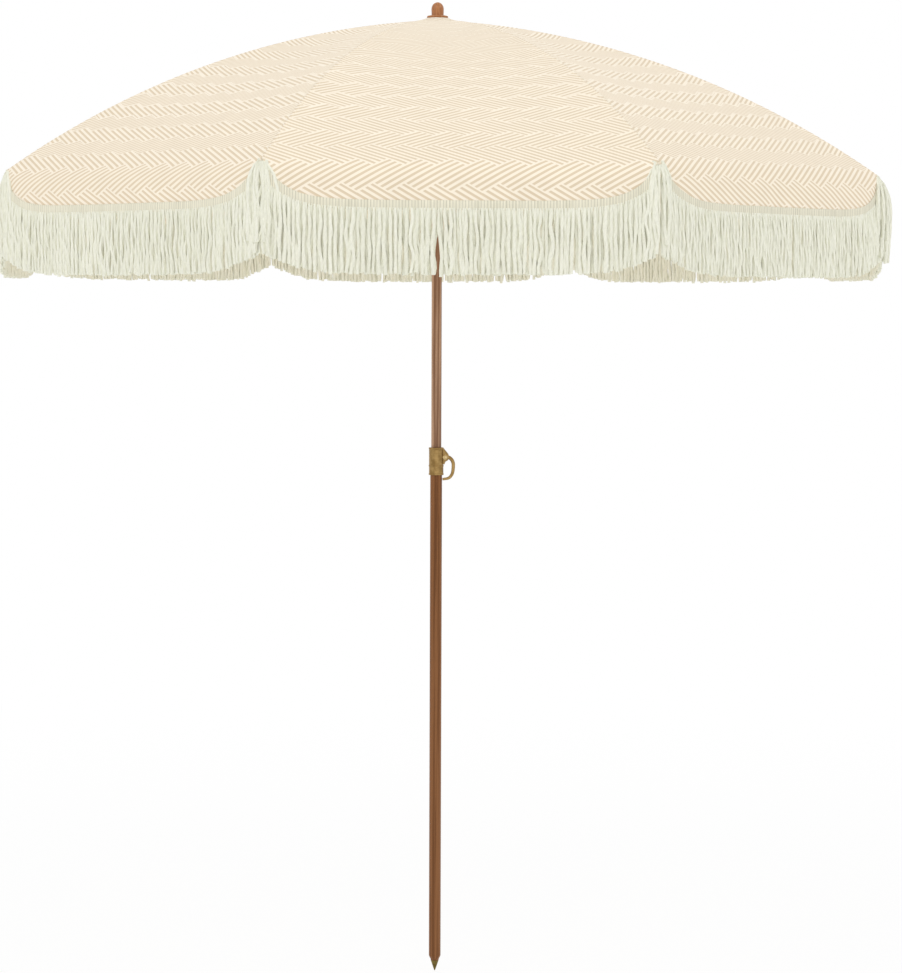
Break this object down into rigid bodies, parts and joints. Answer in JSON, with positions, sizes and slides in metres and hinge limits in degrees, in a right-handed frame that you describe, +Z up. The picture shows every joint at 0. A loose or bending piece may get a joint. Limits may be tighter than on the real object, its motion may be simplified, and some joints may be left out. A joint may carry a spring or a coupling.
{
  "type": "beach umbrella",
  "caption": "Folding beach umbrella on a two-part pole with a clamp lever, a pointed foot, bowed ribs and a cloth canopy whose scalloped edge carries a cotton fringe.",
  "frame": {"origin": "point of the ground spike, on the pole's axis", "axes": "+Z up the pole, +X towards the clamp lever, -Y towards the viewer of the picture"},
  "size_m": [1.923, 1.923, 2.3],
  "materials": {
    "brown_tube": "satin brown coating with a wood look",
    "antique_brass": "antique brushed",
    "spike_metal": "dull olive",
    "finial_wood": "satin varnish",
    "plated_steel": "zinc plated",
    "rib_rod": "pultruded glass fibre",
    "cream_plastic": "moulded",
    "canvas": "printed herringbone canvas",
    "fringe_cotton": "twisted cotton yarn"
  },
  "bodies": {
    "ground_pole": {"spike_tip": "spike_metal", "lower_pole": "brown_tube", "clamp_collar": "antique_brass", "lever_pin": "antique_brass"},
    "clamp_lever": {"clamp_lever": "antique_brass"},
    "upper_pole": {"upper_pole": "brown_tube", "pole_plug": "cream_plastic", "crown_hub": "cream_plastic", "crown_ring": "plated_steel", "finial": "finial_wood", "canopy_cap": "canvas", "catch_pin": "plated_steel"},
    "spring_catch": {"spring_catch": "plated_steel"},
    "runner": {"runner": "cream_plastic", "runner_ring": "plated_steel"},
    "rib_1": {"rib_1": "rib_rod"},
    "stretcher_1": {"stretcher_1": "plated_steel"},
    "panel_1": {"panel_1": "canvas"},
    "valance_1": {"valance_1": "canvas", "fringe_1": "fringe_cotton"},
    "rib_2": {"rib_2": "rib_rod"},
    "stretcher_2": {"stretcher_2": "plated_steel"},
    "panel_2": {"panel_2": "canvas"},
    "valance_2": {"valance_2": "canvas", "fringe_2": "fringe_cotton"},
    "rib_3": {"rib_3": "rib_rod"},
    "stretcher_3": {"stretcher_3": "plated_steel"},
    "panel_3": {"panel_3": "canvas"},
    "valance_3": {"valance_3": "canvas", "fringe_3": "fringe_cotton"},
    "rib_4": {"rib_4": "rib_rod"},
    "stretcher_4": {"stretcher_4": "plated_steel"},
    "panel_4": {"panel_4": "canvas"},
    "valance_4": {"valance_4": "canvas", "fringe_4": "fringe_cotton"},
    "rib_5": {"rib_5": "rib_rod"},
    "stretcher_5": {"stretcher_5": "plated_steel"},
    "panel_5": {"panel_5": "canvas"},
    "valance_5": {"valance_5": "canvas", "fringe_5": "fringe_cotton"},
    "rib_6": {"rib_6": "rib_rod"},
    "stretcher_6": {"stretcher_6": "plated_steel"},
    "panel_6": {"panel_6": "canvas"},
    "valance_6": {"valance_6": "canvas", "fringe_6": "fringe_cotton"},
    "rib_7": {"rib_7": "rib_rod"},
    "stretcher_7": {"stretcher_7": "plated_steel"},
    "panel_7": {"panel_7": "canvas"},
    "valance_7": {"valance_7": "canvas", "fringe_7": "fringe_cotton"},
    "rib_8": {"rib_8": "rib_rod"},
    "stretcher_8": {"stretcher_8": "plated_steel"},
    "panel_8": {"panel_8": "canvas"},
    "valance_8": {"valance_8": "canvas", "fringe_8": "fringe_cotton"}
  },
  "joints": [
    {"name": "pole_slide", "type": "slide", "parent": "ground_pole", "child": "upper_pole", "axis": [0, 0, 1], "range_m": [-0.12, 0.1]},
    {"name": "lever_hinge", "type": "hinge", "parent": "ground_pole", "child": "clamp_lever", "pos_m": [0.0204, 0, 1.2325], "axis": [0, -1, 0], "range_deg": [0, 110]},
    {"name": "catch_press", "type": "hinge", "parent": "upper_pole", "child": "spring_catch", "pos_m": [0.004, 0, 1.96973], "axis": [0, -1, 0], "range_deg": [0, 4.5], "stiffness_Nm_per_rad": 0.3},
    {"name": "canopy_fold", "type": "hinge", "parent": "upper_pole", "child": "rib_1", "pos_m": [0.02494, 0.01033, 2.243], "axis": [-0.3827, 0.9239, 0], "range_deg": [0, 67], "deforming": ["panel_1", "valance_1", "fringe_1", "panel_2", "valance_2", "fringe_2", "panel_3", "valance_3", "fringe_3", "panel_4", "valance_4", "fringe_4", "panel_5", "valance_5", "fringe_5", "panel_6", "valance_6", "fringe_6", "panel_7", "valance_7", "fringe_7", "panel_8", "valance_8", "fringe_8", "spring_catch"]},
    {"name": "stretcher_1_hinge", "type": "hinge", "parent": "rib_1", "child": "stretcher_1", "pos_m": [0.39412, 0.16325, 2.16252], "axis": [-0.3827, 0.9239, 0], "range_deg": [-134, 0]},
    {"name": "panel_1_hinge", "type": "hinge", "parent": "upper_pole", "child": "panel_1", "pos_m": [0.01764, 0.01764, 2.243], "axis": [-0.7071, 0.7071, 0], "range_deg": [0, 65.39]},
    {"name": "valance_1_hinge", "type": "hinge", "parent": "panel_1", "child": "valance_1", "pos_m": [0.67941, 0.67941, 1.88335], "axis": [-0.7071, 0.7071, 0], "range_deg": [-65.39, 0]},
    {"name": "rib_2_hinge", "type": "hinge", "parent": "upper_pole", "child": "rib_2", "pos_m": [0.01033, 0.02494, 2.243], "axis": [-0.9239, 0.3827, 0], "range_deg": [0, 67]},
    {"name": "stretcher_2_hinge", "type": "hinge", "parent": "rib_2", "child": "stretcher_2", "pos_m": [0.16325, 0.39412, 2.16252], "axis": [-0.9239, 0.3827, 0], "range_deg": [-134, 0]},
    {"name": "panel_2_hinge", "type": "hinge", "parent": "upper_pole", "child": "panel_2", "pos_m": [0, 0.02494, 2.243], "axis": [-1, 0, 0], "range_deg": [0, 65.39]},
    {"name": "valance_2_hinge", "type": "hinge", "parent": "panel_2", "child": "valance_2", "pos_m": [0, 0.96083, 1.88335], "axis": [-1, 0, 0], "range_deg": [-65.39, 0]},
    {"name": "rib_3_hinge", "type": "hinge", "parent": "upper_pole", "child": "rib_3", "pos_m": [-0.01033, 0.02494, 2.243], "axis": [-0.9239, -0.3827, 0], "range_deg": [0, 67]},
    {"name": "stretcher_3_hinge", "type": "hinge", "parent": "rib_3", "child": "stretcher_3", "pos_m": [-0.16325, 0.39412, 2.16252], "axis": [-0.9239, -0.3827, 0], "range_deg": [-134, 0]},
    {"name": "panel_3_hinge", "type": "hinge", "parent": "upper_pole", "child": "panel_3", "pos_m": [-0.01764, 0.01764, 2.243], "axis": [-0.7071, -0.7071, 0], "range_deg": [0, 65.39]},
    {"name": "valance_3_hinge", "type": "hinge", "parent": "panel_3", "child": "valance_3", "pos_m": [-0.67941, 0.67941, 1.88335], "axis": [-0.7071, -0.7071, 0], "range_deg": [-65.39, 0]},
    {"name": "rib_4_hinge", "type": "hinge", "parent": "upper_pole", "child": "rib_4", "pos_m": [-0.02494, 0.01033, 2.243], "axis": [-0.3827, -0.9239, 0], "range_deg": [0, 67]},
    {"name": "stretcher_4_hinge", "type": "hinge", "parent": "rib_4", "child": "stretcher_4", "pos_m": [-0.39412, 0.16325, 2.16252], "axis": [-0.3827, -0.9239, 0], "range_deg": [-134, 0]},
    {"name": "panel_4_hinge", "type": "hinge", "parent": "upper_pole", "child": "panel_4", "pos_m": [-0.02494, 0, 2.243], "axis": [0, -1, 0], "range_deg": [0, 65.39]},
    {"name": "valance_4_hinge", "type": "hinge", "parent": "panel_4", "child": "valance_4", "pos_m": [-0.96083, 0, 1.88335], "axis": [0, -1, 0], "range_deg": [-65.39, 0]},
    {"name": "rib_5_hinge", "type": "hinge", "parent": "upper_pole", "child": "rib_5", "pos_m": [-0.02494, -0.01033, 2.243], "axis": [0.3827, -0.9239, 0], "range_deg": [0, 67]},
    {"name": "stretcher_5_hinge", "type": "hinge", "parent": "rib_5", "child": "stretcher_5", "pos_m": [-0.39412, -0.16325, 2.16252], "axis": [0.3827, -0.9239, 0], "range_deg": [-134, 0]},
    {"name": "panel_5_hinge", "type": "hinge", "parent": "upper_pole", "child": "panel_5", "pos_m": [-0.01764, -0.01764, 2.243], "axis": [0.7071, -0.7071, 0], "range_deg": [0, 65.39]},
    {"name": "valance_5_hinge", "type": "hinge", "parent": "panel_5", "child": "valance_5", "pos_m": [-0.67941, -0.67941, 1.88335], "axis": [0.7071, -0.7071, 0], "range_deg": [-65.39, 0]},
    {"name": "rib_6_hinge", "type": "hinge", "parent": "upper_pole", "child": "rib_6", "pos_m": [-0.01033, -0.02494, 2.243], "axis": [0.9239, -0.3827, 0], "range_deg": [0, 67]},
    {"name": "stretcher_6_hinge", "type": "hinge", "parent": "rib_6", "child": "stretcher_6", "pos_m": [-0.16325, -0.39412, 2.16252], "axis": [0.9239, -0.3827, 0], "range_deg": [-134, 0]},
    {"name": "panel_6_hinge", "type": "hinge", "parent": "upper_pole", "child": "panel_6", "pos_m": [0, -0.02494, 2.243], "axis": [1, 0, 0], "range_deg": [0, 65.39]},
    {"name": "valance_6_hinge", "type": "hinge", "parent": "panel_6", "child": "valance_6", "pos_m": [0, -0.96083, 1.88335], "axis": [1, 0, 0], "range_deg": [-65.39, 0]},
    {"name": "rib_7_hinge", "type": "hinge", "parent": "upper_pole", "child": "rib_7", "pos_m": [0.01033, -0.02494, 2.243], "axis": [0.9239, 0.3827, 0], "range_deg": [0, 67]},
    {"name": "stretcher_7_hinge", "type": "hinge", "parent": "rib_7", "child": "stretcher_7", "pos_m": [0.16325, -0.39412, 2.16252], "axis": [0.9239, 0.3827, 0], "range_deg": [-134, 0]},
    {"name": "panel_7_hinge", "type": "hinge", "parent": "upper_pole", "child": "panel_7", "pos_m": [0.01764, -0.01764, 2.243], "axis": [0.7071, 0.7071, 0], "range_deg": [0, 65.39]},
    {"name": "valance_7_hinge", "type": "hinge", "parent": "panel_7", "child": "valance_7", "pos_m": [0.67941, -0.67941, 1.88335], "axis": [0.7071, 0.7071, 0], "range_deg": [-65.39, 0]},
    {"name": "rib_8_hinge", "type": "hinge", "parent": "upper_pole", "child": "rib_8", "pos_m": [0.02494, -0.01033, 2.243], "axis": [0.3827, 0.9239, 0], "range_deg": [0, 67]},
    {"name": "stretcher_8_hinge", "type": "hinge", "parent": "rib_8", "child": "stretcher_8", "pos_m": [0.39412, -0.16325, 2.16252], "axis": [0.3827, 0.9239, 0], "range_deg": [-134, 0]},
    {"name": "panel_8_hinge", "type": "hinge", "parent": "upper_pole", "child": "panel_8", "pos_m": [0.02494, 0, 2.243], "axis": [0, 1, 0], "range_deg": [0, 65.39]},
    {"name": "valance_8_hinge", "type": "hinge", "parent": "panel_8", "child": "valance_8", "pos_m": [0.96083, 0, 1.88335], "axis": [0, 1, 0], "range_deg": [-65.39, 0]},
    {"name": "runner_slide_pivot", "type": "hinge", "parent": "stretcher_1", "child": "runner", "pos_m": [0.02494, 0.01033, 2.08203], "axis": [-0.3827, 0.9239, 0], "range_deg": [0, 67]}
  ],
  "couplings": [
    {"joint": "stretcher_1_hinge", "follows": "canopy_fold", "ratio": -2},
    {"joint": "panel_1_hinge", "follows": "canopy_fold", "ratio": 0.976},
    {"joint": "valance_1_hinge", "follows": "canopy_fold", "ratio": -0.976},
    {"joint": "rib_2_hinge", "follows": "canopy_fold", "ratio": 1},
    {"joint": "stretcher_2_hinge", "follows": "canopy_fold", "ratio": -2},
    {"joint": "panel_2_hinge", "follows": "canopy_fold", "ratio": 0.976},
    {"joint": "valance_2_hinge", "follows": "canopy_fold", "ratio": -0.976},
    {"joint": "rib_3_hinge", "follows": "canopy_fold", "ratio": 1},
    {"joint": "stretcher_3_hinge", "follows": "canopy_fold", "ratio": -2},
    {"joint": "panel_3_hinge", "follows": "canopy_fold", "ratio": 0.976},
    {"joint": "valance_3_hinge", "follows": "canopy_fold", "ratio": -0.976},
    {"joint": "rib_4_hinge", "follows": "canopy_fold", "ratio": 1},
    {"joint": "stretcher_4_hinge", "follows": "canopy_fold", "ratio": -2},
    {"joint": "panel_4_hinge", "follows": "canopy_fold", "ratio": 0.976},
    {"joint": "valance_4_hinge", "follows": "canopy_fold", "ratio": -0.976},
    {"joint": "rib_5_hinge", "follows": "canopy_fold", "ratio": 1},
    {"joint": "stretcher_5_hinge", "follows": "canopy_fold", "ratio": -2},
    {"joint": "panel_5_hinge", "follows": "canopy_fold", "ratio": 0.976},
    {"joint": "valance_5_hinge", "follows": "canopy_fold", "ratio": -0.976},
    {"joint": "rib_6_hinge", "follows": "canopy_fold", "ratio": 1},
    {"joint": "stretcher_6_hinge", "follows": "canopy_fold", "ratio": -2},
    {"joint": "panel_6_hinge", "follows": "canopy_fold", "ratio": 0.976},
    {"joint": "valance_6_hinge", "follows": "canopy_fold", "ratio": -0.976},
    {"joint": "rib_7_hinge", "follows": "canopy_fold", "ratio": 1},
    {"joint": "stretcher_7_hinge", "follows": "canopy_fold", "ratio": -2},
    {"joint": "panel_7_hinge", "follows": "canopy_fold", "ratio": 0.976},
    {"joint": "valance_7_hinge", "follows": "canopy_fold", "ratio": -0.976},
    {"joint": "rib_8_hinge", "follows": "canopy_fold", "ratio": 1},
    {"joint": "stretcher_8_hinge", "follows": "canopy_fold", "ratio": -2},
    {"joint": "panel_8_hinge", "follows": "canopy_fold", "ratio": 0.976},
    {"joint": "valance_8_hinge", "follows": "canopy_fold", "ratio": -0.976},
    {"joint": "runner_slide_pivot", "follows": "canopy_fold", "ratio": 1}
  ]
}
